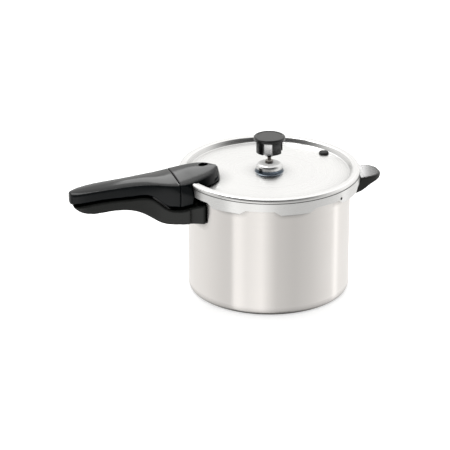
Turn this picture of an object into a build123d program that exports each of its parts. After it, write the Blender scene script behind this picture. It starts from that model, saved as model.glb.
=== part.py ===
"""A long-handled stovetop pressure cooker, piece by piece, in millimetres.

The origin is the centre of the pot's base, on the surface it stands on. +Z is up and +X points at the
short helper handle, so both long handles point along -X. The lid turns about Z under the pot's lugs,
so every surface on which lid and pot pass each other is a surface of revolution about Z.
"""

import os
from math import atan2, cos, radians, sin, tan

from build123d import *

# ---------------------------------------------------------------- driving dimensions: pot
pot_radius = 108.5
pot_height = 160.0
pot_wall = 2.6
base_thickness = 4.5
base_corner = 6.0
rim_flange_reach = 4.0
rim_flange_thickness = 3.0

# ---------------------------------------------------------------- driving dimensions: lug lock
lug_count = 8
pot_lug_reach = 8.7
pot_lug_thickness = 3.0
pot_lug_drop = 6.6  # from the rim down to the top of the pot's lugs
pot_lug_span = 20.4  # degrees
lid_lug_thickness = 2.8
gap_angle_top = 17.8  # degrees, width of a gap in the lid's skirt at its top
gap_angle_bottom = 27.7

# ---------------------------------------------------------------- driving dimensions: lid
sheet = 2.6
skirt_clearance = 1.4
ring_rise = 6.8
ring_top_width = 9.7
ring_slope_run = 4.5
boss_height = 11.3
boss_foot_radius = 18.9
boss_top_radius = 16.6
edge_groove_depth = 0.9
edge_groove_height = 1.5
boss_shoulder = 5.0
ring_shoulder = 3.8
seal_lip_reach = 2.0  # from the rim's edge inwards

# ---------------------------------------------------------------- driving dimensions: handles
handle_reach = 152.0  # from the lid's edge to the tip
nose_reach = 49.5  # from the lid's edge inwards, over the lid
seam_reach = 10.2  # from the lid's edge out to the seam of the front cap
grip_half_width = 18.4
shoulder_half_width = 31.7
handle_spread = 7.0  # how much wider the cover handle is at the lid than along its top
helper_reach = 34.0
helper_rise = 11.0  # helper handle's top below the pot's rim

# ---------------------------------------------------------------- driving dimensions: fittings
vent_stem_radius = 2.6
vent_thread_radius = 4.0
vent_stem_height = 23.0
collar_height = 3.8
collar_radius = 5.6
regulator_radius = 17.9
regulator_disc_radius = 21.0
regulator_disc_thickness = 5.0
regulator_stand_off = 10.2
regulator_skirt_height = 17.0
weight_radius = 14.6
plug_radius = 6.6
plug_bolt_circle = 98.5
plug_angle = 24.0
pin_radius = 2.9
pin_x_inset = 33.2  # from the lid's edge inwards to the lock pin
pin_y = 12.0
sleeve_radius = 5.0
plug_stem_radius = 4.8
rivet_half_angle = 6.5
pin_head_radius = 4.6
pin_travel = 4.0
pin_window_radius = 6.3
vent_hole_radius = 2.1
vent_hole_angle = -56.0
screw_radius = 2.5
screw_head_radius = 4.6
rivet_radius = 2.0
rivet_head = 1.2
rivet_head_radius = 3.0
screw_head_height = 2.7
strap = 2.0  # thickness of the brackets
tongue_half_width = 8.5
plate_half_angle = 9.5
pocket_depth = 4.0
nose_rest = 0.8  # gap between the lid's panel and the handle over it
sleeve_flange = 1.2
sleeve_flange_radius = 7.0
pin_foot_radius = 4.2
pin_head_height = 5.6
pin_socket_depth = 3.0
plug_rise = 3.0
vent_bore_radius = 0.9
nut_height = 3.5
nut_radius = 6.6
weight_show = 6.0  # the weight's lower end shows this much under the cap's skirt
weight_nose_radius = 6.0
weight_play = 0.4
weight_neck_radius = 5.0
weight_neck_height = 2.4
regulator_slots = 4
regulator_slot_span = 41.0
regulator_slot_turn = -24.7
disc_edge_radius = 2.0
dish_radius = 17.0
dish_depth = 0.5
lid_tongue_reach = 52.0
body_tongue_reach = 50.0
helper_tongue_reach = 27.5
wall_corner = 9.5  # how far the body handle's ends reach in along the pot's wall
body_handle_root = 46.5
root_corner = 3.0
helper_half_width = 26.0
helper_clearance = 1.2

# ---------------------------------------------------------------- driving dimensions: rack
rack_radius = 96.0
rack_sheet = 1.5
rack_height = 9.0
rack_finger_hole = 12.0
rack_hole_radius = 4.0
rack_hole_rings = 5
rack_hole_step = 14.0

# ---------------------------------------------------------------- clearances
free_gap = 0.3  # between bodies that move past each other
lug_gap = 0.6
panel_gap = 0.9
seat_gap = 0.1  # between pieces of one body
handle_gap = 3.2  # between the cover handle and the body handle
bushing_clearance = 0.1

# ---------------------------------------------------------------- sizes that follow
rim_radius = pot_radius + rim_flange_reach
pot_lug_radius = pot_radius + pot_lug_reach
skirt_inner = pot_lug_radius + skirt_clearance
lid_radius = skirt_inner + sheet
pot_lug_top = pot_height - pot_lug_drop
pot_lug_bottom = pot_lug_top - pot_lug_thickness
lid_lug_top = pot_lug_bottom - lug_gap
lid_bottom = lid_lug_top - lid_lug_thickness
lid_lug_radius = rim_radius + 0.8
panel_z = pot_height + panel_gap + sheet
ring_top = panel_z + ring_rise
ring_inner = lid_radius - ring_top_width
ring_foot = ring_inner - ring_slope_run
boss_top = panel_z + boss_height
edge_groove_z = ring_top - 5.6
lug_pitch = 360.0 / lug_count
handle_tip = lid_radius + handle_reach
seam_x = lid_radius + seam_reach
nose_x = lid_radius - nose_reach
lid_plate = (lid_bottom + 2.5, panel_z - 1.5)
lid_tongue_z = lid_bottom + 10.0
lid_tongue_end = lid_radius + lid_tongue_reach
lid_screw_xs = [-lid_radius - 7.0, -lid_radius - 39.0]
lid_screw_seat = lid_bottom + 4.4
lid_screw_tip = lid_screw_seat + 14.0
body_plate = (pot_height - 42.0, pot_height - 25.0)
body_tongue_z = pot_height - 36.0
body_tongue_end = pot_radius + body_tongue_reach
body_rivet_z = pot_height - 30.0
body_screw_x = -pot_radius - 32.0
body_screw_seat = pot_height - 43.0
body_screw_tip = pot_height - 28.0
helper_top = pot_height - helper_rise
helper_tip = lid_radius + helper_reach
helper_plate = (helper_top - 18.5, helper_top - 6.5)
helper_tongue_z = helper_plate[1] - strap
helper_tongue_end = pot_radius + helper_tongue_reach
helper_rivet_z = helper_top - 14.2
helper_screw_x = pot_radius + 20.5
helper_screw_seat = helper_top - 12.6
helper_screw_tip = helper_top - 3.0
plug_place = (plug_bolt_circle * cos(radians(plug_angle)), plug_bolt_circle * sin(radians(plug_angle)))
pin_place = (pin_x_inset - lid_radius, pin_y)
vent_hole_z = lid_bottom + 8.0
lid_rivet_z = pot_lug_top + 3.6
rivet_sag = 0.1

os.makedirs("parts", exist_ok=True)


def save(piece, name):
    """Label a finished piece and write it to its own file."""
    piece.part.label = name
    export_step(piece.part, f"parts/{name}.step")


def near(points, x, y):
    """The vertex of a sketch that lies nearest to a place in it."""
    return points.sort_by_distance((x, y))[0]


def bend_shift(rise, run):
    """How far a bend's inner corner lies from its outer one, along the flat sheet."""
    return sheet * tan(atan2(rise, run) / 2)


def sector(inner_radius, outer_radius, span, middle=0.0):
    """A flat piece of a ring, span degrees wide, about the direction middle."""
    with BuildSketch(mode=Mode.PRIVATE) as piece:
        with BuildLine():
            outer = CenterArc((0, 0), outer_radius, middle - span / 2, span)
            inner = CenterArc((0, 0), inner_radius, middle - span / 2, span)
            Line(outer @ 0, inner @ 0)
            Line(outer @ 1, inner @ 1)
        make_face()
    return piece.sketch


def radial_plane(angle, z, radius):
    """A plane whose normal points straight out from the Z axis, at an angle in degrees."""
    turn = radians(angle)
    place = (radius * cos(turn), radius * sin(turn), z)
    return Plane(origin=place, x_dir=(-sin(turn), cos(turn), 0), z_dir=(cos(turn), sin(turn), 0))


def standing_plane(place):
    """An upright plane through a place in plan, whose own height is the model's height."""
    return Plane(origin=(*place, 0), x_dir=(1, 0, 0), z_dir=(0, -1, 0))


def tongue_slot(start_x, end_x, z):
    """The room that a bracket's tongue takes inside a handle."""
    length = abs(end_x - start_x) + free_gap
    middle = (start_x + end_x) / 2 + (free_gap if end_x > 0 else -free_gap) / 2
    with BuildPart(mode=Mode.PRIVATE) as slot:
        with BuildSketch(Plane.XY.offset(z - seat_gap)):
            with Locations((middle, 0)):
                Rectangle(length, 2 * (tongue_half_width + seat_gap))
        extrude(amount=strap + 2 * seat_gap)
    return slot.part


def screw_room(x, seat, tip):
    """The hole for a handle screw: its head comes from below and its thread ends in the handle."""
    with BuildPart(mode=Mode.PRIVATE) as room:
        with BuildSketch(Plane.XY.offset(seat - 40)):
            with Locations((x, 0)):
                Circle(screw_head_radius + free_gap)
        extrude(amount=40)
        with BuildSketch(Plane.XY.offset(seat)):
            with Locations((x, 0)):
                Circle(screw_radius)
        extrude(amount=tip - seat)
    return room.part


def screws(xs, seat, tip):
    """Pan-head handle screws, one at each x, heads down."""
    with BuildPart() as group:
        with BuildSketch(Plane.XY.offset(seat - screw_head_height)):
            with Locations(*[(x, 0) for x in xs]):
                Circle(screw_head_radius)
        extrude(amount=screw_head_height)
        with BuildSketch(Plane.XY.offset(seat)):
            with Locations(*[(x, 0) for x in xs]):
                Circle(screw_radius)
        extrude(amount=tip - seat)
        with BuildSketch(Plane.XY.offset(seat - screw_head_height)):
            with Locations(*[(x, 0) for x in xs]):
                Rectangle(6, 1)
                Rectangle(1, 6)
        extrude(amount=1.5, mode=Mode.SUBTRACT)
    return group


def bracket(wall_radius, direction, plate, tongue_z, tongue_end, screw_xs, rivet_z):
    """A curved plate against a round wall, with a flat tongue that reaches out into a handle."""
    towards = 1 if direction == 0 else -1
    face = wall_radius + seat_gap
    with BuildPart() as piece:
        with BuildSketch(Plane.XY.offset(plate[0])):
            add(sector(face, face + strap, 2 * plate_half_angle, direction))
        extrude(amount=plate[1] - plate[0])
        with BuildSketch(Plane.XY.offset(tongue_z)):
            with Locations((towards * (face + strap / 2 + tongue_end) / 2, 0)):
                Rectangle(tongue_end - face - strap / 2, 2 * tongue_half_width)
            with Locations(*[(x, 0) for x in screw_xs]):
                Circle(screw_radius + seat_gap, mode=Mode.SUBTRACT)
        extrude(amount=strap)
        for side in (-1, 1):
            with Locations(radial_plane(direction + side * rivet_half_angle, rivet_z, face + strap + 1)):
                Hole(rivet_radius, depth=strap + 2)
    return piece


def rivets(inner_radius, outer_radius, direction, z):
    """Two rivets through a round wall and a bracket's plate, with a low head at each end."""
    with BuildPart() as pair:
        for side in (-1, 1):
            angle = direction + side * rivet_half_angle
            with BuildSketch(radial_plane(angle, z, inner_radius - rivet_head)):
                Circle(rivet_head_radius)
            extrude(amount=rivet_head - rivet_sag)
            with BuildSketch(radial_plane(angle, z, inner_radius - rivet_head)):
                Circle(rivet_radius)
            extrude(amount=outer_radius - inner_radius + 2 * rivet_head)
            with BuildSketch(radial_plane(angle, z, outer_radius + seat_gap)):
                Circle(rivet_head_radius)
            extrude(amount=rivet_head)
    return pair


# ================================================================ pot
with BuildPart() as pot_body:
    with BuildSketch(Plane.XZ) as pot_profile:
        with BuildLine():
            Polyline(
                (0, 0),
                (pot_radius, 0),
                (pot_radius, pot_height - rim_flange_thickness),
                (rim_radius, pot_height - rim_flange_thickness),
                (rim_radius, pot_height),
                (pot_radius - pot_wall, pot_height),
                (pot_radius - pot_wall, base_thickness),
                (0, base_thickness),
                close=True,
            )
        make_face()
        fillet(near(pot_profile.vertices(), pot_radius, 0), base_corner)
        fillet(near(pot_profile.vertices(), pot_radius - pot_wall, base_thickness), base_corner - 1)
        fillet(near(pot_profile.vertices(), rim_radius, pot_height), 1.2)
        fillet(near(pot_profile.vertices(), pot_radius - pot_wall, pot_height), 0.8)
    revolve(axis=Axis.Z)
    with BuildSketch(Plane.XY.offset(pot_lug_bottom)):
        with PolarLocations(0, lug_count):
            add(sector(pot_radius - pot_wall / 2, pot_lug_radius, pot_lug_span))
    extrude(amount=pot_lug_thickness)
    for side in (-1, 1):
        with Locations(radial_plane(180 + side * rivet_half_angle, body_rivet_z, pot_radius + 1)):
            Hole(rivet_radius + seat_gap, depth=pot_wall + 2)
        with Locations(radial_plane(side * rivet_half_angle, helper_rivet_z, pot_radius + 1)):
            Hole(rivet_radius + seat_gap, depth=pot_wall + 2)
save(pot_body, "pot_body")

# ================================================================ rack
rack_bottom = base_thickness + free_gap
rack_top = rack_bottom + rack_height
with BuildPart() as cooking_rack:
    with BuildSketch(Plane.XY.offset(rack_top - rack_sheet)):
        Circle(rack_radius)
        Circle(rack_finger_hole, mode=Mode.SUBTRACT)
        for ring in range(1, rack_hole_rings + 1):
            with PolarLocations(rack_finger_hole + ring * rack_hole_step, 6 * (ring + 1)):
                Circle(rack_hole_radius, mode=Mode.SUBTRACT)
    extrude(amount=rack_sheet)
    with BuildSketch(Plane.XY.offset(rack_bottom)):
        Circle(rack_radius)
        Circle(rack_radius - rack_sheet, mode=Mode.SUBTRACT)
    extrude(amount=rack_height)
    fillet(cooking_rack.edges().group_by(Axis.Z)[-1].sort_by(SortBy.RADIUS)[-1], rack_sheet * 0.6)
save(cooking_rack, "cooking_rack")

# ================================================================ lid: shell
with BuildPart() as cover_shell:
    with BuildSketch(Plane.XZ) as cover_profile:
        ring_shift = bend_shift(ring_rise, ring_slope_run)
        boss_shift = bend_shift(boss_height, boss_foot_radius - boss_top_radius)
        with BuildLine():
            Polyline(
                (0, boss_top),
                (boss_top_radius, boss_top),
                (boss_foot_radius, panel_z),
                (ring_foot, panel_z),
                (ring_inner, ring_top),
                (lid_radius, ring_top),
                (lid_radius, lid_bottom),
                (lid_lug_radius, lid_bottom),
                (lid_lug_radius, lid_lug_top),
                (skirt_inner, lid_lug_top),
                (skirt_inner, ring_top - sheet),
                (ring_inner + ring_shift, ring_top - sheet),
                (ring_foot + ring_shift, panel_z - sheet),
                (boss_foot_radius - boss_shift, panel_z - sheet),
                (boss_top_radius - boss_shift, boss_top - sheet),
                (0, boss_top - sheet),
                close=True,
            )
        make_face()
        fillet(near(cover_profile.vertices(), boss_top_radius, boss_top), boss_shoulder)
        fillet(near(cover_profile.vertices(), boss_foot_radius, panel_z), 1.5)
        fillet(near(cover_profile.vertices(), ring_foot, panel_z), 2.0)
        fillet(near(cover_profile.vertices(), ring_inner, ring_top), 3.0)
        fillet(near(cover_profile.vertices(), lid_radius, ring_top), ring_shoulder)
        fillet(near(cover_profile.vertices(), lid_radius, lid_bottom), 1.6)
        fillet(near(cover_profile.vertices(), skirt_inner, ring_top - sheet), 1.2)
    revolve(axis=Axis.Z)
    with BuildSketch(Plane.XZ):
        with Locations((lid_radius, edge_groove_z)):
            Rectangle(2 * edge_groove_depth, edge_groove_height)
    revolve(axis=Axis.Z, mode=Mode.SUBTRACT)
    gap_top_half = lid_radius * sin(radians(gap_angle_top / 2))
    gap_bottom_half = lid_radius * sin(radians(gap_angle_bottom / 2))
    for gap in range(lug_count):
        turn = radians((gap + 0.5) * lug_pitch)
        tangent = (-sin(turn), cos(turn), 0)
        outward = (cos(turn), sin(turn), 0)
        with BuildSketch(Plane(origin=(0, 0, 0), x_dir=tangent, z_dir=outward)):
            Polygon(
                (-gap_bottom_half, lid_bottom),
                (gap_bottom_half, lid_bottom),
                (gap_top_half, pot_lug_top),
                (-gap_top_half, pot_lug_top),
                align=None,
            )
        extrude(amount=lid_radius + 1, mode=Mode.SUBTRACT)
    with Locations((0, 0, boss_top)):
        Hole(vent_thread_radius + seat_gap, depth=sheet + 1)
    with Locations((*plug_place, panel_z)):
        Hole(plug_stem_radius + seat_gap, depth=sheet + 1)
    with Locations((*pin_place, panel_z)):
        Hole(sleeve_radius + seat_gap, depth=sheet + 1)
    with Locations(radial_plane(vent_hole_angle, vent_hole_z, lid_radius + 1)):
        Hole(vent_hole_radius, depth=sheet + 2)
    for side in (-1, 1):
        with Locations(radial_plane(180 + side * rivet_half_angle, lid_rivet_z, lid_radius + 1)):
            Hole(rivet_radius + seat_gap, depth=sheet + 2)
save(cover_shell, "cover_shell")

# ================================================================ lid: sealing ring
with BuildPart() as sealing_ring:
    seal_bottom = pot_height + free_gap
    seal_top = ring_top - sheet - free_gap
    seal_inner = rim_radius - seal_lip_reach
    seal_outer = skirt_inner - free_gap
    seal_wall = 1.9
    with BuildSketch(Plane.XZ) as seal_profile:
        with BuildLine():
            Polyline(
                (seal_inner, seal_bottom),
                (seal_outer, seal_bottom),
                (seal_outer, seal_top),
                (ring_inner + ring_shift + free_gap + 0.4, seal_top),
                (seal_inner, seal_bottom + 1.9),
                close=True,
            )
        make_face()
        with Locations((seal_outer - seal_wall - 0.8, seal_bottom)):
            Rectangle(1.6, 2 * (seal_top - seal_bottom - seal_wall), mode=Mode.SUBTRACT)
        fillet(near(seal_profile.vertices(), seal_outer, seal_top), 1.4)
    revolve(axis=Axis.Z)
save(sealing_ring, "sealing_ring")

# ================================================================ the long handles' shared surfaces
def handle_parting(lift, depth):
    """Half section from the surface on which the long handles pass each other, depth up or down."""
    with BuildSketch(mode=Mode.PRIVATE) as section:
        with BuildLine():
            edge = Spline(
                (lid_radius - 30, pot_height - 19.5 + lift),
                (lid_radius + 9, pot_height - 22 + lift),
                (lid_radius + 24, pot_height - 23.6 + lift),
                (lid_radius + 35, pot_height - 17.2 + lift),
                (lid_radius + 46, pot_height - 8.5 + lift),
                (lid_radius + 69, pot_height - 7 + lift),
                (handle_tip - 41, pot_height - 8.5 + lift),
                (handle_tip - 11, pot_height - 12.5 + lift),
                (handle_tip + 17, pot_height - 17 + lift),
            )
            Polyline(edge @ 1, edge @ 1 + Vector(0, depth), edge @ 0 + Vector(0, depth), edge @ 0)
        make_face()
    return section.sketch


def cover_handle_outline(z, spread):
    """The cover handle in plan at one height. spread is how far its sides stand out beside the lid."""
    with BuildSketch(Plane.XY.offset(z), mode=Mode.PRIVATE) as outline:
        with BuildLine():
            side = Spline(
                (-handle_tip, 0),
                (3 - handle_tip, 8.2 + 0.1 * spread),
                (12 - handle_tip, 12.2 + 0.1 * spread),
                (32 - handle_tip, grip_half_width - 3.0 + 0.1 * spread),
                (72 - handle_tip, grip_half_width - 1.6 + 0.15 * spread),
                (-lid_radius - 40, grip_half_width + 4.8 + 0.2 * spread),
                (-lid_radius - 12, shoulder_half_width - 0.5 + 0.4 * spread),
                (5 - lid_radius, shoulder_half_width - 2.2 + spread),
                (-nose_x - 17, shoulder_half_width - 6.8 + 0.9 * spread),
                (-nose_x - 8.5, shoulder_half_width - 14 + 0.8 * spread),
                (-nose_x - 3.5 + 0.3 * spread, shoulder_half_width - 22 + 0.6 * spread),
            )
            ThreePointArc(
                side @ 1,
                (-nose_x + 0.3 * spread, 0),
                ((side @ 1).X, -(side @ 1).Y),
            )
            mirror(side, about=Plane.XZ)
        make_face()
    return outline.sketch


# ================================================================ lid: handle
with BuildPart() as cover_handle:
    loft(
        [
            cover_handle_outline(lid_bottom - 8, handle_spread + 1),
            cover_handle_outline(panel_z + 3.5, handle_spread),
            cover_handle_outline(ring_top + 10, -3),
        ]
    )
    with BuildSketch(Plane.XZ) as handle_side:
        with BuildLine():
            crown = Spline(
                (-handle_tip - 8, ring_top - 9.5),
                (28 - handle_tip, ring_top - 3.6),
                (68 - handle_tip, ring_top - 0.6),
                (-lid_radius - 44, ring_top + 0.9),
                (-lid_radius - 12, ring_top + 0.6),
                (16 - lid_radius, ring_top + 5),
                (12 - nose_x, ring_top + 9),
            )
            Polyline(
                crown @ 1,
                (12 - nose_x, lid_bottom - 8),
                (-handle_tip - 8, lid_bottom - 8),
                crown @ 0,
            )
        make_face()
    extrude(amount=2 * shoulder_half_width, both=True, mode=Mode.INTERSECT)
    with BuildSketch(Plane.XZ):
        add(handle_parting(handle_gap / 2, -40))
    revolve(axis=Axis.Z, mode=Mode.SUBTRACT)
    with BuildSketch(Plane.XZ):
        with BuildLine():
            Polyline(
                (0, lid_bottom - 30),
                (lid_radius + seat_gap, lid_bottom - 30),
                (lid_radius + seat_gap, ring_top + seat_gap),
                (ring_inner - seat_gap, ring_top + seat_gap),
                (ring_foot - seat_gap, panel_z + nose_rest),
                (0, panel_z + nose_rest),
                close=True,
            )
        make_face()
    revolve(axis=Axis.Z, mode=Mode.SUBTRACT)
    with BuildSketch(Plane.XY.offset(lid_bottom)):
        add(sector(lid_radius - 1, lid_radius + pocket_depth, 2 * plate_half_angle + 3, 180))
    extrude(amount=panel_z + 1 - lid_bottom, mode=Mode.SUBTRACT)
    add(tongue_slot(-lid_radius, -lid_tongue_end, lid_tongue_z), mode=Mode.SUBTRACT)
    for screw_x in lid_screw_xs:
        add(screw_room(screw_x, lid_screw_seat, lid_screw_tip), mode=Mode.SUBTRACT)
    with BuildSketch(Plane.XY.offset(panel_z)):
        with Locations(pin_place):
            Circle(pin_window_radius)
    extrude(amount=ring_top, mode=Mode.SUBTRACT)
    with BuildSketch(Plane.XY.offset(panel_z)):
        with Locations(pin_place):
            Circle(sleeve_flange_radius + free_gap)
    extrude(amount=sleeve_flange + free_gap, mode=Mode.SUBTRACT)

with BuildPart() as cover_handle_grip:
    add(cover_handle.part)
    split(bisect_by=Plane.YZ.offset(-seam_x - seat_gap), keep=Keep.BOTTOM)
save(cover_handle_grip, "cover_handle_grip")

with BuildPart() as cover_handle_front:
    add(cover_handle.part)
    split(bisect_by=Plane.YZ.offset(-seam_x + seat_gap), keep=Keep.TOP)
save(cover_handle_front, "cover_handle_front")

save(
    bracket(lid_radius, 180, lid_plate, lid_tongue_z, lid_tongue_end, lid_screw_xs, lid_rivet_z),
    "cover_bracket",
)
save(rivets(skirt_inner, lid_radius + seat_gap + strap, 180, lid_rivet_z), "cover_bracket_rivets")
save(screws(lid_screw_xs, lid_screw_seat, lid_screw_tip), "cover_handle_screws")

# ================================================================ pot: long handle
with BuildPart() as body_handle:
    with BuildSketch(Plane.XY.offset(pot_height - 70)) as body_outline:
        with BuildLine():
            side = Spline(
                (-handle_tip, 0),
                (3 - handle_tip, 8.8),
                (12 - handle_tip, 13.6),
                (32 - handle_tip, grip_half_width - 1.8),
                (72 - handle_tip, grip_half_width - 0.6),
                (-lid_radius - 40, grip_half_width + 6.6),
                (-lid_radius - 22, shoulder_half_width - 0.2),
                (-lid_radius, shoulder_half_width + 7.8),
                (wall_corner - pot_radius, body_handle_root),
                tangents=[(0, 1), (1, 0.4)],
            )
            Line(side @ 1, (wall_corner - pot_radius, 0))
            mirror(about=Plane.XZ)
        make_face()
        for root in (-body_handle_root, body_handle_root):
            fillet(near(body_outline.vertices(), wall_corner - pot_radius, root), root_corner)
    extrude(amount=70)
    with BuildSketch(Plane.XZ):
        with BuildLine():
            belly = Spline(
                (-handle_tip - 1, pot_height - 8),
                (4 - handle_tip, pot_height - 16),
                (11 - handle_tip, pot_height - 21.8),
                (24 - handle_tip, pot_height - 25.6),
                (48 - handle_tip, pot_height - 25.0),
                (72 - handle_tip, pot_height - 24.8),
                (-lid_radius - 60, pot_height - 29.5),
                (-lid_radius - 45, pot_height - 38),
                (-lid_radius - 33, pot_height - 44.6),
                (-lid_radius - 18, pot_height - 46.6),
                (wall_corner - pot_radius, pot_height - 45.6),
            )
            Polyline(
                belly @ 1,
                (wall_corner - pot_radius, pot_height),
                (-handle_tip - 1, pot_height),
                belly @ 0,
            )
        make_face()
    extrude(amount=3 * shoulder_half_width, both=True, mode=Mode.INTERSECT)
    with BuildSketch(Plane.XZ):
        add(handle_parting(-handle_gap / 2, 60))
    revolve(axis=Axis.Z, mode=Mode.SUBTRACT)
    with BuildSketch(Plane.XY.offset(pot_height - 70)):
        Circle(pot_radius + seat_gap)
    extrude(amount=70, mode=Mode.SUBTRACT)
    with BuildSketch(Plane.XY.offset(body_plate[0] - 1)):
        add(sector(pot_radius - 1, pot_radius + pocket_depth, 2 * plate_half_angle + 3, 180))
    extrude(amount=body_plate[1] - body_plate[0] + 2, mode=Mode.SUBTRACT)
    add(tongue_slot(-pot_radius, -body_tongue_end, body_tongue_z), mode=Mode.SUBTRACT)
    add(screw_room(body_screw_x, body_screw_seat, body_screw_tip), mode=Mode.SUBTRACT)
save(body_handle, "body_handle")

save(
    bracket(pot_radius, 180, body_plate, body_tongue_z, body_tongue_end, [body_screw_x], body_rivet_z),
    "body_bracket",
)
save(rivets(pot_radius - pot_wall, pot_radius + seat_gap + strap, 180, body_rivet_z), "body_bracket_rivets")
save(screws([body_screw_x], body_screw_seat, body_screw_tip), "body_handle_screw")

# ================================================================ pot: helper handle
with BuildPart() as helper_handle:
    with BuildSketch(Plane.XY.offset(helper_top - 40)):
        with BuildLine():
            side = Spline(
                (helper_tip, 0),
                (helper_tip - 1.4, 10.5),
                (helper_tip - 6, 17.4),
                (lid_radius + 1, helper_half_width),
                (pot_radius - 8, helper_half_width + 5),
                tangents=[(0, 1), (-1, 0.25)],
            )
            Line(side @ 1, (pot_radius - 8, 0))
            mirror(about=Plane.XZ)
        make_face()
    extrude(amount=40)
    with BuildSketch(Plane.XZ):
        with BuildLine():
            belly = Spline(
                (pot_radius - 8, helper_top - 20.5),
                (pot_radius + 8, helper_top - 20.5),
                (lid_radius + 1, helper_top - 19),
                (lid_radius + 7, helper_top - 15.8),
                (lid_radius + 15, helper_top - 11.2),
                (helper_tip - 5, helper_top - 6.5),
                (helper_tip + 1, helper_top - 3),
            )
            Polyline(belly @ 1, (helper_tip + 1, helper_top), (pot_radius - 8, helper_top), belly @ 0)
        make_face()
    extrude(amount=2 * helper_half_width, both=True, mode=Mode.INTERSECT)
    with BuildSketch(Plane.XY.offset(helper_top - 40)):
        Circle(pot_radius + seat_gap)
    extrude(amount=40, mode=Mode.SUBTRACT)
    with BuildSketch(Plane.XY.offset(lid_bottom - helper_clearance)):
        Circle(lid_radius + helper_clearance)
    extrude(amount=40, mode=Mode.SUBTRACT)
    with BuildSketch(Plane.XY.offset(helper_plate[0] - 1)):
        add(sector(pot_radius - 1, pot_radius + pocket_depth, 2 * plate_half_angle + 3))
    extrude(amount=helper_plate[1] - helper_plate[0] + 1.5, mode=Mode.SUBTRACT)
    add(tongue_slot(pot_radius, helper_tongue_end, helper_tongue_z), mode=Mode.SUBTRACT)
    add(screw_room(helper_screw_x, helper_screw_seat, helper_screw_tip), mode=Mode.SUBTRACT)
save(helper_handle, "helper_handle")

save(
    bracket(pot_radius, 0, helper_plate, helper_tongue_z, helper_tongue_end, [helper_screw_x], helper_rivet_z),
    "helper_bracket",
)
save(rivets(pot_radius - pot_wall, pot_radius + seat_gap + strap, 0, helper_rivet_z), "helper_bracket_rivets")
save(screws([helper_screw_x], helper_screw_seat, helper_screw_tip), "helper_handle_screw")

# ================================================================ lid: vent pipe and its nut
with BuildPart() as vent_pipe:
    with BuildSketch(Plane.XY.offset(boss_top - sheet - nut_height - 1)):
        Circle(vent_thread_radius)
    extrude(amount=sheet + nut_height + 1)
    with BuildSketch(Plane.XY.offset(boss_top)):
        RegularPolygon(collar_radius, 6)
    extrude(amount=collar_height)
    with BuildSketch(Plane.XY.offset(boss_top + collar_height)):
        Circle(vent_stem_radius)
    extrude(amount=vent_stem_height - collar_height)
    chamfer(vent_pipe.edges().group_by(Axis.Z)[-1], 0.5)
    with BuildSketch(Plane.XY.offset(boss_top - 30)):
        Circle(vent_bore_radius)
    extrude(amount=30 + vent_stem_height, mode=Mode.SUBTRACT)
save(vent_pipe, "vent_pipe")

with BuildPart() as vent_pipe_nut:
    with BuildSketch(Plane.XY.offset(boss_top - sheet - seat_gap - nut_height)):
        RegularPolygon(nut_radius, 6)
        Circle(vent_thread_radius + seat_gap, mode=Mode.SUBTRACT)
    extrude(amount=nut_height)
save(vent_pipe_nut, "vent_pipe_nut")

# ================================================================ regulator
weight_bottom = boss_top + regulator_stand_off
skirt_bottom = weight_bottom + weight_show
disc_bottom = skirt_bottom + regulator_skirt_height
with BuildPart() as regulator_weight:
    with BuildSketch(Plane.XZ):
        with BuildLine():
            Polyline(
                (vent_stem_radius + weight_play, weight_bottom),
                (weight_nose_radius, weight_bottom),
                (weight_radius - 1.4, skirt_bottom - 0.5),
                (weight_radius, skirt_bottom + 1.5),
                (weight_radius, disc_bottom - seat_gap),
                (weight_neck_radius, disc_bottom - seat_gap),
                (weight_neck_radius, disc_bottom + weight_neck_height),
                (0, disc_bottom + weight_neck_height),
                (0, boss_top + vent_stem_height + free_gap),
                (vent_stem_radius + weight_play, boss_top + vent_stem_height + free_gap),
                close=True,
            )
        make_face()
    revolve(axis=Axis.Z)
save(regulator_weight, "regulator_weight")

with BuildPart() as regulator_cap:
    with BuildSketch(Plane.XY.offset(skirt_bottom)):
        Circle(regulator_radius)
        Circle(weight_radius + free_gap, mode=Mode.SUBTRACT)
        for slot in range(regulator_slots):
            slot_middle = regulator_slot_turn + slot * 360 / regulator_slots
            add(sector(1, regulator_radius + 1, regulator_slot_span, slot_middle), mode=Mode.SUBTRACT)
    extrude(amount=regulator_skirt_height)
    with BuildSketch(Plane.XY.offset(disc_bottom)):
        Circle(regulator_disc_radius)
    extrude(amount=regulator_disc_thickness)
    fillet(regulator_cap.edges().group_by(Axis.Z)[-1], disc_edge_radius)
    with BuildSketch(Plane.XY.offset(disc_bottom + regulator_disc_thickness - dish_depth)):
        Circle(dish_radius)
    extrude(amount=dish_depth, mode=Mode.SUBTRACT)
    with BuildSketch(Plane.XY.offset(disc_bottom)):
        Circle(weight_neck_radius + seat_gap)
    extrude(amount=weight_neck_height + seat_gap, mode=Mode.SUBTRACT)
save(regulator_cap, "regulator_cap")

# ================================================================ lid: overpressure plug
with BuildPart() as overpressure_plug:
    with BuildSketch(standing_plane(plug_place)) as plug_profile:
        with BuildLine():
            Polyline(
                (0, panel_z + plug_rise),
                (plug_radius, panel_z + plug_rise),
                (plug_radius, panel_z),
                (plug_stem_radius, panel_z),
                (plug_stem_radius, panel_z - sheet),
                (plug_radius - 0.4, panel_z - sheet),
                (plug_radius - 0.8, panel_z - sheet - 2.4),
                (0, panel_z - sheet - 2.4),
                close=True,
            )
        make_face()
        fillet(near(plug_profile.vertices(), plug_radius, panel_z + plug_rise), plug_rise * 0.7)
    revolve(axis=Axis((*plug_place, 0), (0, 0, 1)))
save(overpressure_plug, "overpressure_plug")

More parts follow.
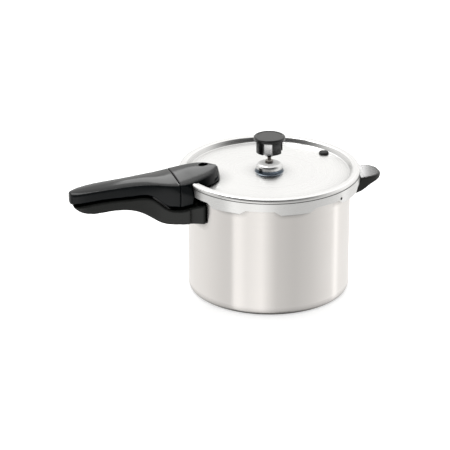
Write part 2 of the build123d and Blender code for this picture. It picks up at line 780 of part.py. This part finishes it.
# ================================================================ lid: lock pin and its sleeve
sleeve_bottom = panel_z - sheet - 1.0
gasket_top = sleeve_bottom - 0.4 - pin_travel
gasket_height = 1.6
pin_head_bottom = panel_z + sleeve_flange + free_gap
with BuildPart() as lock_sleeve:
    with BuildSketch(Plane.XY.offset(sleeve_bottom)):
        with Locations(pin_place):
            Circle(sleeve_radius)
    extrude(amount=panel_z - sleeve_bottom)
    with BuildSketch(Plane.XY.offset(panel_z)):
        with Locations(pin_place):
            Circle(sleeve_flange_radius)
    extrude(amount=sleeve_flange)
    with BuildSketch(Plane.XY.offset(sleeve_bottom - 1)):
        with Locations(pin_place):
            Circle(pin_radius + bushing_clearance)
    extrude(amount=10, mode=Mode.SUBTRACT)
save(lock_sleeve, "lock_sleeve")

with BuildPart() as lock_pin:
    with BuildSketch(Plane.XY.offset(gasket_top - gasket_height - 1.2)):
        with Locations(pin_place):
            Circle(pin_foot_radius)
    extrude(amount=1.2)
    with BuildSketch(Plane.XY.offset(gasket_top - gasket_height)):
        with Locations(pin_place):
            Circle(pin_radius)
    extrude(amount=pin_head_bottom + pin_socket_depth - gasket_top + gasket_height)
save(lock_pin, "lock_pin")

with BuildPart() as lock_pin_gasket:
    with BuildSketch(Plane.XY.offset(gasket_top - gasket_height)):
        with Locations(pin_place):
            Circle(pin_foot_radius + 1)
            Circle(pin_radius, mode=Mode.SUBTRACT)
    extrude(amount=gasket_height)
save(lock_pin_gasket, "lock_pin_gasket")

with BuildPart() as lock_pin_cap:
    with BuildSketch(Plane.XY.offset(pin_head_bottom)):
        with Locations(pin_place):
            Circle(pin_head_radius)
    extrude(amount=pin_head_height)
    fillet(lock_pin_cap.edges().group_by(Axis.Z)[-1], 1.2)
    with BuildSketch(Plane.XY.offset(pin_head_bottom)):
        with Locations(pin_place):
            Circle(pin_radius)
    extrude(amount=pin_socket_depth, mode=Mode.SUBTRACT)
save(lock_pin_cap, "lock_pin_cap")
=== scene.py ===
from math import cos, pi, radians, sin

import bpy
import numpy as np
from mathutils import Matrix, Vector


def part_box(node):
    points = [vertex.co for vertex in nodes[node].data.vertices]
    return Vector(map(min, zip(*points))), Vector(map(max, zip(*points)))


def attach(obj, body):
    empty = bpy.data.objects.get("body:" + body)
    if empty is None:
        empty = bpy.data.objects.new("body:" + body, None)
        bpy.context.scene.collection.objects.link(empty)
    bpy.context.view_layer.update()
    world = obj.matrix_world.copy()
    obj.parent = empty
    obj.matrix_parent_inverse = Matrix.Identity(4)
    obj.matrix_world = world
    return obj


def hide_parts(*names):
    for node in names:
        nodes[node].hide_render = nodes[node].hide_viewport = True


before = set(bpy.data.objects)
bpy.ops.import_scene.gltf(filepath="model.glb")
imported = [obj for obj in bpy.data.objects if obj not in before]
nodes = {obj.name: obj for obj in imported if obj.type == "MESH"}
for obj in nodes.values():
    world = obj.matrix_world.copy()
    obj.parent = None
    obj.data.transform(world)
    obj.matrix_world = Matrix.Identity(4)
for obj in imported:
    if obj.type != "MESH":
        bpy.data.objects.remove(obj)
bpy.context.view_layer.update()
scene = bpy.context.scene

BOSS_HEIGHT = 0.0113  # of the lid's boss over its panel
BOSS_RADIUS = 0.0195
SHEET = 0.0027  # the lid's sheet and the seat under it
PIN_HOLE_RADIUS = 0.0063
CAMERA_TURN = radians(-16)
CAMERA_DISTANCE = 3.0


# ---------------------------------------------------------------- materials
class Shader:
    """A Principled material, with short calls for the nodes that feed it."""

    def __init__(self, name, **sockets):
        self.material = bpy.data.materials.new(name)
        self.material.use_nodes = True
        self.tree = self.material.node_tree
        self.surface = self.tree.nodes["Principled BSDF"]
        for socket, value in sockets.items():
            self.surface.inputs[socket.replace("_", " ")].default_value = value
        self.place = self.node("ShaderNodeTexCoord").outputs["Object"]

    def node(self, kind, **settings):
        made = self.tree.nodes.new(kind)
        for key, value in settings.items():
            setattr(made, key, value)
        return made

    def link(self, output, socket):
        self.tree.links.new(output, socket)

    def maths(self, operation, a, b=0.0):
        made = self.node("ShaderNodeMath", operation=operation)
        for socket, value in zip(made.inputs, (a, b)):
            if isinstance(value, (int, float)):
                socket.default_value = value
            else:
                self.link(value, socket)
        return made.outputs[0]

    def weigh(self, a, share_of_a, b):
        """A mix of two factors, with a's share of it given."""
        return self.maths("ADD", self.maths("MULTIPLY", a, share_of_a),
                          self.maths("MULTIPLY", b, 1 - share_of_a))

    def noise(self, scale, detail=3.0, rough=0.55, vector=None):
        made = self.node("ShaderNodeTexNoise")
        made.inputs["Scale"].default_value = scale
        made.inputs["Detail"].default_value = detail
        made.inputs["Roughness"].default_value = rough
        self.link(vector or self.place, made.inputs["Vector"])
        return made.outputs["Fac"]

    def turned(self, slow=0.003):
        """A place that changes fast across the marks of a lathe and slowly along them."""
        split = self.node("ShaderNodeSeparateXYZ")
        self.link(self.place, split.inputs[0])
        x, y, z = split.outputs
        squares = self.maths("ADD", self.maths("MULTIPLY", x, x), self.maths("MULTIPLY", y, y))
        self.radius = self.maths("SQRT", squares)
        self.height = z
        made = self.node("ShaderNodeCombineXYZ")
        self.link(self.radius, made.inputs[0])
        self.link(self.maths("ADD", z, self.maths("MULTIPLY", x, slow)), made.inputs[1])
        self.link(self.maths("MULTIPLY", y, slow), made.inputs[2])
        return made.outputs[0]

    def remap(self, value, from_min, from_max, low, high, curve="LINEAR"):
        made = self.node("ShaderNodeMapRange", interpolation_type=curve)
        self.link(value, made.inputs["Value"])
        made.inputs["From Min"].default_value = from_min
        made.inputs["From Max"].default_value = from_max
        made.inputs["To Min"].default_value = low
        made.inputs["To Max"].default_value = high
        return made.outputs["Result"]

    def step(self, value, start, end):
        """Goes smoothly from 0 at start to 1 at end."""
        return self.remap(value, start, end, 0.0, 1.0, "SMOOTHSTEP")

    def multiplied(self, tone, factor=None):
        """A node that multiplies tone by its second colour, where factor is 1, and that colour's socket."""
        made = self.node("ShaderNodeMix", data_type="RGBA", blend_type="MULTIPLY")
        made.inputs[0].default_value = 1.0
        if factor is not None:
            self.link(factor, made.inputs[0])
        self.link(tone, made.inputs[6])
        return made.outputs[2], made.inputs[7]

    def colours(self, factor, low, high, painted_shade_reach=0.0):
        """Base colour from low to high. The last argument is how far in metres a painted shade reaches out of a
        corner, darkening the base colour there.
        """
        made = self.node("ShaderNodeValToRGB")
        for element, place, tone in zip(made.color_ramp.elements, (0.3, 0.7), (low, high)):
            element.position = place
            element.color = (*tone, 1)
        self.link(factor, made.inputs["Fac"])
        tone = made.outputs["Color"]
        if painted_shade_reach:
            # painted shade: the base colour is darkened where other surfaces are near, as shade would fall in
            # corners
            depth = self.maths("MULTIPLY", self.maths("POWER", self.openness(painted_shade_reach), 1.6), 0.85)
            depth = self.maths("ADD", depth, 0.15)
            grey = self.node("ShaderNodeCombineColor")
            for socket in grey.inputs[:3]:
                self.link(depth, socket)
            tone, shade = self.multiplied(tone)
            self.link(grey.outputs["Color"], shade)
        self.link(tone, self.surface.inputs["Base Color"])

    def openness(self, distance):
        """1 in the open, and less where the surface has others within distance."""
        made = self.node("ShaderNodeAmbientOcclusion", samples=8)
        made.inputs["Distance"].default_value = distance
        return made.outputs["AO"]

    def tint(self, factor, colour):
        """Multiplies the base colour by colour where factor is 1."""
        base = self.surface.inputs["Base Color"]
        tone, shade = self.multiplied(base.links[0].from_socket, factor)
        shade.default_value = (*colour, 1)
        self.link(tone, base)

    def bump(self, height, distance, strength=1.0):
        made = self.node("ShaderNodeBump")
        made.inputs["Distance"].default_value = distance
        made.inputs["Strength"].default_value = strength
        self.link(height, made.inputs["Height"])
        self.link(made.outputs["Normal"], self.surface.inputs["Normal"])

    def roughness(self, factor, low, high):
        self.link(self.remap(factor, 0.25, 0.75, low, high), self.surface.inputs["Roughness"])


def turned_metal(name, dark, light, smooth, rough, lines=1500.0, depth=0.00002, brushed=0.0, painted_shade_reach=0.0):
    """Metal with fine marks round the pot's axis, and a slow change of tone as handling leaves it."""
    made = Shader(name, Metallic=1.0, Anisotropic=brushed, Anisotropic_Rotation=0.25)
    marks = made.noise(lines, detail=2.0, vector=made.turned())
    cloud = made.noise(9.0, detail=4.0)
    made.colours(made.weigh(marks, 0.5, cloud), dark, light, painted_shade_reach)
    made.roughness(made.weigh(marks, 0.6, cloud), smooth, rough)
    made.bump(marks, depth, 0.5)
    if brushed:
        tangent = made.node("ShaderNodeTangent", direction_type="RADIAL", axis="Z")
        made.link(tangent.outputs["Tangent"], made.surface.inputs["Tangent"])
    return made


def polish_boss_and_shade_its_wall(lid, panel_z):
    """Gives the lid's boss more polish than the panel, and a painted dark reflection on the wall round its foot.
    """
    worn = lid.surface.inputs["Roughness"]
    inside = lid.maths("LESS_THAN", lid.radius, BOSS_RADIUS)
    polish = lid.maths("SUBTRACT", 1.0, lid.maths("MULTIPLY", inside, 0.25))
    lid.link(lid.maths("MULTIPLY", worn.links[0].from_socket, polish), worn)
    low = lid.maths("SUBTRACT", 1.0, lid.step(lid.height, panel_z + 0.0038, panel_z + 0.0058))
    past_foot = lid.step(lid.radius, 0.0192, 0.0200)
    wall = lid.maths("MULTIPLY", lid.step(lid.radius, 0.0165, 0.0172), lid.maths("SUBTRACT", 1.0, past_foot))
    # painted reflection: the boss's wall near its foot is darkened and tinted blue-grey, standing in for the
    # dark room it mirrors
    lid.tint(lid.maths("MULTIPLY", low, wall), (0.17, 0.21, 0.26))


def plain_metal(name, dark, light, smooth, rough):
    """Plated or machined small hardware."""
    made = Shader(name, Metallic=1.0)
    grains = made.noise(420.0, detail=4.0)
    made.colours(made.noise(60.0), dark, light)
    made.roughness(grains, smooth, rough)
    made.bump(grains, 0.00003, 0.5)
    return made.material


def moulded(name, dark, light, smooth, rough, gloss=0.42, peel=0.00002):
    """Moulded plastic: a faint ripple from the mould, finger marks in the gloss, dust in the tone."""
    made = Shader(name, IOR=1.55, Specular_IOR_Level=gloss)
    marks = made.noise(24.0, detail=5.0, rough=0.65)
    speck = made.noise(900.0, detail=1.0)
    made.colours(marks, dark, light)
    made.roughness(made.weigh(marks, 0.7, speck), smooth, rough)
    made.bump(made.noise(75.0, detail=2.0), peel)
    # painted shade on the gloss: the reflection is dimmed where other surfaces are near, so the gaps between
    # handles read black
    shine = made.maths("MULTIPLY", made.maths("POWER", made.openness(0.010), 2.5), gloss)
    made.link(shine, made.surface.inputs["Specular IOR Level"])
    return made.material


def rubber(name, dark, light):
    made = Shader(name, IOR=1.5)
    bloom = made.noise(45.0, detail=4.0)
    made.colours(bloom, dark, light)
    made.roughness(bloom, 0.5, 0.72)
    made.bump(made.noise(1100.0), 0.00005)
    return made.material


# the lid's colour carries painted shade reaching 22 mm out of its corners: dark by the handle's nose, round the
# boss and at the ring's foot
lid = turned_metal("lid_polished_aluminium", (0.84, 0.838, 0.835), (0.88, 0.877, 0.868), 0.24, 0.31,
                   1300.0, 0.000002, painted_shade_reach=0.022)
polish_boss_and_shade_its_wall(lid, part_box("vent_pipe_nut")[1][2] + SHEET - BOSS_HEIGHT)
# the pot's colour carries painted shade reaching 12 mm out of corners, under the lid's skirt and at its other
# joints
pot_metal = turned_metal("pot_satin_aluminium", (0.91, 0.876, 0.85), (0.96, 0.931, 0.911), 0.21, 0.28,
                         1700.0, 0.000008, 0.9, painted_shade_reach=0.012).material
rack_metal = turned_metal("rack_aluminium", (0.68, 0.68, 0.67), (0.78, 0.78, 0.77), 0.32, 0.45, 700.0).material
bright = turned_metal("bright_turned_weight", (0.72, 0.72, 0.73), (0.84, 0.84, 0.85), 0.07, 0.16,
                      2600.0, 0.00001).material
steel = plain_metal("plated_steel", (0.50, 0.50, 0.50), (0.62, 0.62, 0.61), 0.25, 0.42)
# the fitting metal's colour is kept very dark, a painted dark reflection that stands in for the black parts the
# vent pipe mirrors
fitting = plain_metal("turned_fitting_metal", (0.13, 0.12, 0.11), (0.24, 0.22, 0.20), 0.14, 0.28)
handle_black = moulded("handle_phenolic_black", (0.006, 0.0068, 0.006), (0.009, 0.010, 0.0088),
                       0.12, 0.19, 0.32)
cover_black = moulded("cover_handle_phenolic_black", (0.002, 0.003, 0.0036), (0.0036, 0.0052, 0.0064),
                      0.07, 0.12, 0.22)
cap_black = moulded("regulator_black", (0.003, 0.003, 0.003), (0.007, 0.007, 0.007), 0.10, 0.2, peel=0.00003)
pin_black = moulded("lock_pin_black", (0.012, 0.012, 0.012), (0.03, 0.03, 0.03), 0.3, 0.45)
seal_rubber = rubber("sealing_ring_rubber", (0.022, 0.022, 0.022), (0.045, 0.045, 0.044))
plug_rubber = rubber("plug_rubber", (0.012, 0.012, 0.012), (0.026, 0.026, 0.026))

paint = {
    "pot_body": pot_metal,
    "cover_shell": lid.material,
    "cooking_rack": rack_metal,
    "sealing_ring": seal_rubber,
    "overpressure_plug": plug_rubber,
    "lock_pin_gasket": plug_rubber,
    "lock_pin_cap": pin_black,
    "regulator_cap": cap_black,
    "regulator_weight": bright,
    "vent_pipe": fitting,
    "vent_pipe_nut": fitting,
    "lock_sleeve": fitting,
    "lock_pin": fitting,
}


def repaint(thing, material):
    thing.data.materials.clear()
    thing.data.materials.append(material)


for name, thing in nodes.items():
    repaint(thing, paint.get(name, steel))

# the lid shows no image of the weight that stands over it
for name in ("regulator_cap", "regulator_weight", "vent_pipe"):
    nodes[name].visible_glossy = False

# small hardware gets the broken edges that machining and stamping leave
for name in ("vent_pipe", "vent_pipe_nut", "cover_handle_screws", "body_handle_screw", "helper_handle_screw",
             "cover_bracket", "body_bracket", "helper_bracket"):
    edge = nodes[name].modifiers.new("edge", "BEVEL")
    edge.width = 0.0003
    edge.segments = 2
    edge.angle_limit = radians(40)


# ---------------------------------------------------------------- handles
def crown(mesh, drop, depth=0.012):
    """Rounds a handle's flat top across its width: its sides sink by drop, fading out depth below the top."""
    place = np.empty(len(mesh.vertices) * 3)
    mesh.vertices.foreach_get("co", place)
    place = place.reshape(-1, 3)
    station = np.round((place[:, 0] - place[:, 0].min()) / 0.002).astype(int)
    count = station.max() + 1
    top = np.full(count, -1.0)
    np.maximum.at(top, station, place[:, 2])
    under_top = top[station] - place[:, 2]
    half_width = np.full(count, 0.004)
    near_top = under_top < 0.003
    np.maximum.at(half_width, station[near_top], np.abs(place[near_top, 1]))
    half_width = np.convolve(np.pad(half_width, 4, mode="edge"), np.ones(9) / 9, mode="valid")
    fade = np.clip(1 - under_top / depth, 0, 1)
    place[:, 2] -= drop * fade * np.minimum(np.abs(place[:, 1]) / half_width[station], 1.15) ** 2
    mesh.vertices.foreach_set("co", place.ravel())
    mesh.update()


def bake(piece):
    """Applies a piece's modifiers to its mesh."""
    bpy.context.view_layer.update()
    done = piece.evaluated_get(bpy.context.evaluated_depsgraph_get())
    mesh = bpy.data.meshes.new_from_object(done)
    piece.modifiers.clear()
    piece.data = mesh


def rounded(node, body, material, voxel=0.0009, passes=26, keep=(), hole=None, drop=0.0):
    """A moulding on a CAD handle's shape, with its edges rounded. keep lists x planes whose edge stays crisp,
    hole is the place in plan of a hole that stays crisp, and drop is how far the top's sides sink."""
    piece = bpy.data.objects.new(node + "_moulding", nodes[node].data.copy())
    scene.collection.objects.link(piece)
    remesh = piece.modifiers.new("remesh", "REMESH")
    remesh.mode = "VOXEL"
    remesh.voxel_size = voxel
    bake(piece)
    if drop:
        crown(piece.data, drop)
    soft = piece.vertex_groups.new(name="soft")
    for vertex in piece.data.vertices:
        reach = min((abs(vertex.co.x - x) for x in keep), default=1.0)
        if hole:
            reach = min(reach, abs((vertex.co.xy - hole).length - PIN_HOLE_RADIUS))
        soft.add([vertex.index], min(1.0, 0.12 + max(0.0, reach - 0.0012) / 0.004), "REPLACE")
    relax = piece.modifiers.new("relax", "SMOOTH")
    relax.factor = 0.5
    relax.iterations = passes
    relax.vertex_group = "soft"
    bake(piece)
    piece.vertex_groups.clear()
    repaint(piece, material)
    piece.data.shade_smooth()
    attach(piece, body)
    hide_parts(node)
    return piece


seam_x = (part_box("cover_handle_grip")[1][0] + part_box("cover_handle_front")[0][0]) / 2
pin_low, pin_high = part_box("lock_pin")
pin_place = Vector(((pin_low[0] + pin_high[0]) / 2, (pin_low[1] + pin_high[1]) / 2))
mouldings = [
    rounded("cover_handle_grip", "cover", cover_black, keep=(seam_x,), drop=0.002),
    rounded("cover_handle_front", "cover", cover_black, keep=(seam_x,), hole=pin_place, drop=0.002),
    rounded("body_handle", "pot", handle_black, passes=40),
    rounded("helper_handle", "pot", handle_black, voxel=0.0008),
]

# ---------------------------------------------------------------- floor
bpy.ops.mesh.primitive_plane_add(size=30)
floor = bpy.context.object
floor.name = "floor"
pale = Shader("pale_floor", Base_Color=(0.93, 0.93, 0.93, 1), Roughness=0.7, Specular_IOR_Level=0.1,
              Emission_Color=(1.0, 1.0, 1.0, 1), Emission_Strength=0.6)
floor.data.materials.append(pale.material)
floor.visible_glossy = False

# ---------------------------------------------------------------- light
world = bpy.data.worlds.new("studio")
scene.world = world
world.use_nodes = True
sky = world.node_tree
background = sky.nodes["Background"]
background.inputs["Strength"].default_value = 1.0


def sky_node(kind, **settings):
    made = sky.nodes.new(kind)
    for key, value in settings.items():
        setattr(made, key, value)
    return made


facing = sky_node("ShaderNodeVectorRotate", rotation_type="Z_AXIS")
facing.inputs["Angle"].default_value = -CAMERA_TURN
sky.links.new(sky_node("ShaderNodeTexCoord").outputs["Generated"], facing.inputs["Vector"])
parts = sky_node("ShaderNodeSeparateXYZ")
sky.links.new(facing.outputs["Vector"], parts.inputs[0])
behind = sky_node("ShaderNodeMath", operation="MULTIPLY")
behind.inputs[1].default_value = -1
sky.links.new(parts.outputs["Y"], behind.inputs[0])
round_angle = sky_node("ShaderNodeMath", operation="ARCTAN2")
sky.links.new(parts.outputs["X"], round_angle.inputs[0])
sky.links.new(behind.outputs[0], round_angle.inputs[1])
turn = sky_node("ShaderNodeMapRange")
turn.inputs["From Min"].default_value = -pi
turn.inputs["From Max"].default_value = pi
sky.links.new(round_angle.outputs[0], turn.inputs["Value"])


def ramp(*values):
    """Sky grey round the horizon, as (place, grey) pairs. The camera's side is place 0.5, and 0 and 1 are
    behind the cooker."""
    made = sky_node("ShaderNodeValToRGB")
    elements = made.color_ramp.elements
    while len(elements) < len(values):
        elements.new(0.5)
    for element, (place, grey) in zip(elements, values):
        element.position = place
        element.color = (grey, grey * 0.995, grey * 0.98, 1)
    sky.links.new(turn.outputs[0], made.inputs["Fac"])
    return made.outputs["Color"]


# below the eye: the panels and flags that the upright walls show, from behind on the left, past the camera,
# to behind on the right
walls = ramp((0.0, 0.98), (0.12, 0.86), (0.30, 0.72), (0.348, 0.76), (0.356, 1.24), (0.385, 1.17), (0.41, 1.04),
             (0.47, 1.20), (0.495, 0.97), (0.53, 0.73), (0.60, 0.62), (0.69, 0.69), (0.79, 0.79), (0.80, 1.34),
             (0.825, 0.86), (0.90, 0.86), (1.0, 0.98))
# above the eye: a bright wall behind the cooker and a dimmer room behind the camera
upper = ramp((0.0, 1.03), (0.22, 1.03), (0.34, 0.42), (0.5, 0.26), (0.66, 0.42), (0.78, 1.08), (1.0, 1.03))
# higher still: a long soft box over the back wall, and a dark ceiling over the camera
high = ramp((0.0, 1.3), (0.16, 1.3), (0.24, 0.7), (0.32, 0.1), (0.5, 0.0), (0.68, 0.1), (0.76, 0.7), (0.84, 1.3),
            (1.0, 1.3))
TOP = 1.1


def blend_by_height(low, high, from_z, to_z):
    """Goes from one sky colour to another between two heights of the direction."""
    height = sky_node("ShaderNodeMapRange", interpolation_type="SMOOTHSTEP")
    height.inputs["From Min"].default_value = from_z
    height.inputs["From Max"].default_value = to_z
    sky.links.new(parts.outputs["Z"], height.inputs["Value"])
    mix = sky_node("ShaderNodeMix", data_type="RGBA")
    sky.links.new(height.outputs[0], mix.inputs[0])
    sky.links.new(low, mix.inputs[6])
    if isinstance(high, float):
        mix.inputs[7].default_value = (high, high, high, 1)
    else:
        sky.links.new(high, mix.inputs[7])
    return mix.outputs[2]


ground = sky_node("ShaderNodeRGB")
ground.outputs[0].default_value = (0.22, 0.22, 0.21, 1)
colour = blend_by_height(ground.outputs[0], walls, -0.95, -0.70)
colour = blend_by_height(colour, upper, -0.32, -0.08)
colour = blend_by_height(colour, high, 0.42, 0.56)
colour = blend_by_height(colour, TOP, 0.86, 0.94)
sky.links.new(colour, background.inputs["Color"])


def panel(name, azimuth, elevation, distance, size, power, target=(0, 0, 0.1)):
    """A soft box at an azimuth from the camera's, aimed at the cooker."""
    light = bpy.data.lights.new(name, "AREA")
    light.shape = "RECTANGLE"
    light.size, light.size_y = size
    light.energy = power
    lamp = bpy.data.objects.new(name, light)
    scene.collection.objects.link(lamp)
    turn_to = radians(azimuth - 90) + CAMERA_TURN
    flat = cos(radians(elevation)) * distance
    away = Vector((flat * cos(turn_to), flat * sin(turn_to), distance * sin(radians(elevation))))
    lamp.location = Vector(target) + away
    lamp.rotation_euler = away.to_track_quat("Z", "Y").to_euler()
    return lamp


panel("key_box", -125, 62, 2.2, (1.3, 1.3), 14)
# two small boxes for the gloss along the handles' tops, flagged off the metal
handle_tops = bpy.data.collections.new("handle_tops")
for piece in mouldings:
    handle_tops.objects.link(piece)
for lamp in (panel("long_handle_box", 180, 27, 1.2, (0.30, 0.30), 0.48, target=(-0.165, 0, 0.168)),
             panel("helper_box", 180, 23, 1.0, (0.12, 0.2), 0.68, target=(0.138, 0, 0.149))):
    lamp.light_linking.receiver_collection = handle_tops

# ---------------------------------------------------------------- camera
eye = bpy.data.cameras.new("camera")
eye.lens = 178.0
eye.sensor_width = 36.0
camera = bpy.data.objects.new("camera", eye)
scene.collection.objects.link(camera)
back = Vector((-0.2539, -0.8854, 0.3894)).normalized()
camera.location = Vector((-0.0567, 0.0163, 0.0845)) + CAMERA_DISTANCE * back
camera.rotation_euler = back.to_track_quat("Z", "Y").to_euler()
scene.camera = camera
scene.view_settings.view_transform = "Standard"
